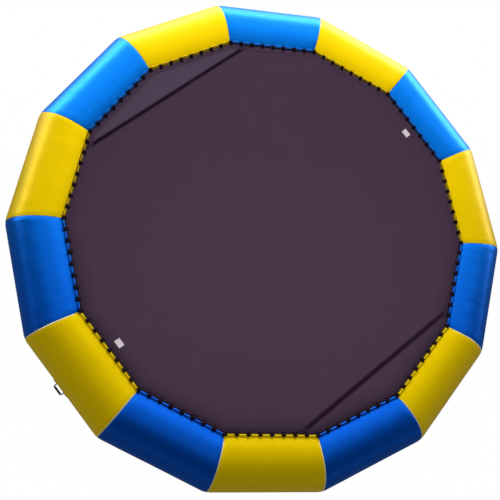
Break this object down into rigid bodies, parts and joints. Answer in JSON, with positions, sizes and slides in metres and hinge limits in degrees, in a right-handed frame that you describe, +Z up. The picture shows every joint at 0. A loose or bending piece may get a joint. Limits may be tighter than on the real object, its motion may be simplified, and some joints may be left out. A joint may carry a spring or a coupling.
{
  "type": "water bouncer",
  "caption": "Springless inflatable water trampoline: a mitred ring of alternating yellow and blue tube sections with a dark bounce bed laced inside it",
  "frame": {"origin": "on the ground under the middle of the ring", "axes": "+Z up; -Y towards the section with the grab handle, +Y towards the inflation valve, +X to the right, across two corners of the ring"},
  "size_m": [6.1, 6.0256, 0.84],
  "materials": {
    "yellow_vinyl": "gloss",
    "blue_vinyl": "gloss",
    "black_webbing": "matte",
    "black_rope": "matte",
    "bed_fabric": "matte",
    "seam_webbing": "matte",
    "tag_cloth": "matte",
    "black_rubber": "matte",
    "grey_rubber": "matte",
    "valve_plastic": "satin",
    "steel": "satin"
  },
  "bodies": {
    "tube": {"yellow_tube_01": "yellow_vinyl", "yellow_tube_03": "yellow_vinyl", "yellow_tube_05": "yellow_vinyl", "yellow_tube_07": "yellow_vinyl", "yellow_tube_09": "yellow_vinyl", "yellow_tube_11": "yellow_vinyl", "yellow_tube_13": "yellow_vinyl", "blue_tube_02": "blue_vinyl", "blue_tube_04": "blue_vinyl", "blue_tube_06": "blue_vinyl", "blue_tube_08": "blue_vinyl", "blue_tube_10": "blue_vinyl", "blue_tube_12": "blue_vinyl", "blue_tube_14": "blue_vinyl", "yellow_lacing_flap_01": "yellow_vinyl", "yellow_lacing_flap_03": "yellow_vinyl", "yellow_lacing_flap_05": "yellow_vinyl", "yellow_lacing_flap_07": "yellow_vinyl", "yellow_lacing_flap_09": "yellow_vinyl", "yellow_lacing_flap_11": "yellow_vinyl", "yellow_lacing_flap_13": "yellow_vinyl", "blue_lacing_flap_02": "blue_vinyl", "blue_lacing_flap_04": "blue_vinyl", "blue_lacing_flap_06": "blue_vinyl", "blue_lacing_flap_08": "blue_vinyl", "blue_lacing_flap_10": "blue_vinyl", "blue_lacing_flap_12": "blue_vinyl", "blue_lacing_flap_14": "blue_vinyl", "lacing_rope": "black_rope", "bed_hem": "black_webbing", "handle_patch": "yellow_vinyl", "handle_strap_end_left": "black_webbing", "handle_strap_end_right": "black_webbing", "valve_body": "valve_plastic", "valve_nut": "valve_plastic", "valve_guide": "valve_plastic", "valve_spring": "steel", "anchor_patch_1": "blue_vinyl", "anchor_patch_2": "yellow_vinyl", "anchor_patch_3": "blue_vinyl", "anchor_tab_1": "black_webbing", "anchor_tab_2": "black_webbing", "anchor_tab_3": "black_webbing"},
    "bed": {"bed_centre_panel": "bed_fabric", "bed_left_panel": "bed_fabric", "bed_right_panel": "bed_fabric", "left_seam_strip": "seam_webbing", "right_seam_strip": "seam_webbing", "front_bed_tag": "tag_cloth", "rear_bed_tag": "tag_cloth"},
    "handle": {"handle_strap": "black_webbing", "handle_grip": "black_rubber"},
    "valve_plunger": {"valve_plunger": "grey_rubber", "valve_diaphragm": "black_rubber"},
    "valve_cap": {"valve_cap": "valve_plastic", "valve_cap_seal": "grey_rubber"},
    "anchor_ring_1": {"anchor_ring_1": "steel"},
    "anchor_ring_2": {"anchor_ring_2": "steel"},
    "anchor_ring_3": {"anchor_ring_3": "steel"}
  },
  "joints": [
    {"name": "bed_bounce", "type": "slide", "parent": "tube", "child": "bed", "axis": [0, 0, 1], "range_m": [-0.3, 0.05], "stiffness_N_per_m": 4400, "springref_m": 0.0139, "deforming": ["bed_centre_panel", "bed_left_panel", "bed_right_panel", "left_seam_strip", "right_seam_strip", "front_bed_tag", "rear_bed_tag"]},
    {"name": "handle_flop", "type": "hinge", "parent": "tube", "child": "handle", "pos_m": [0, -2.97583, 0.42], "axis": [1, 0, 0], "range_deg": [-60, 60], "stiffness_Nm_per_rad": 0.4, "springref_deg": -2.92, "deforming": ["handle_strap"]},
    {"name": "valve_push", "type": "slide", "parent": "tube", "child": "valve_plunger", "axis": [0, -1, 0], "range_m": [0, 0.006], "stiffness_N_per_m": 400, "springref_m": -0.005, "deforming": ["valve_spring"]},
    {"name": "valve_cap_turn", "type": "hinge", "parent": "tube", "child": "valve_cap", "pos_m": [0, 2.97353, 0.42], "axis": [0, 1, 0], "range_deg": [0, 90]},
    {"name": "anchor_ring_1_swing", "type": "hinge", "parent": "tube", "child": "anchor_ring_1", "pos_m": [-2.25897, 1.80147, 0.15221], "axis": [0.6235, 0.7818, 0], "range_deg": [-38, 135]},
    {"name": "anchor_ring_2_swing", "type": "hinge", "parent": "tube", "child": "anchor_ring_2", "pos_m": [2.81689, 0.64294, 0.15221], "axis": [0.2225, -0.9749, 0], "range_deg": [-38, 135]},
    {"name": "anchor_ring_3_swing", "type": "hinge", "parent": "tube", "child": "anchor_ring_3", "pos_m": [-1.25363, -2.60319, 0.15221], "axis": [-0.901, 0.4339, 0], "range_deg": [-38, 135]}
  ]
}
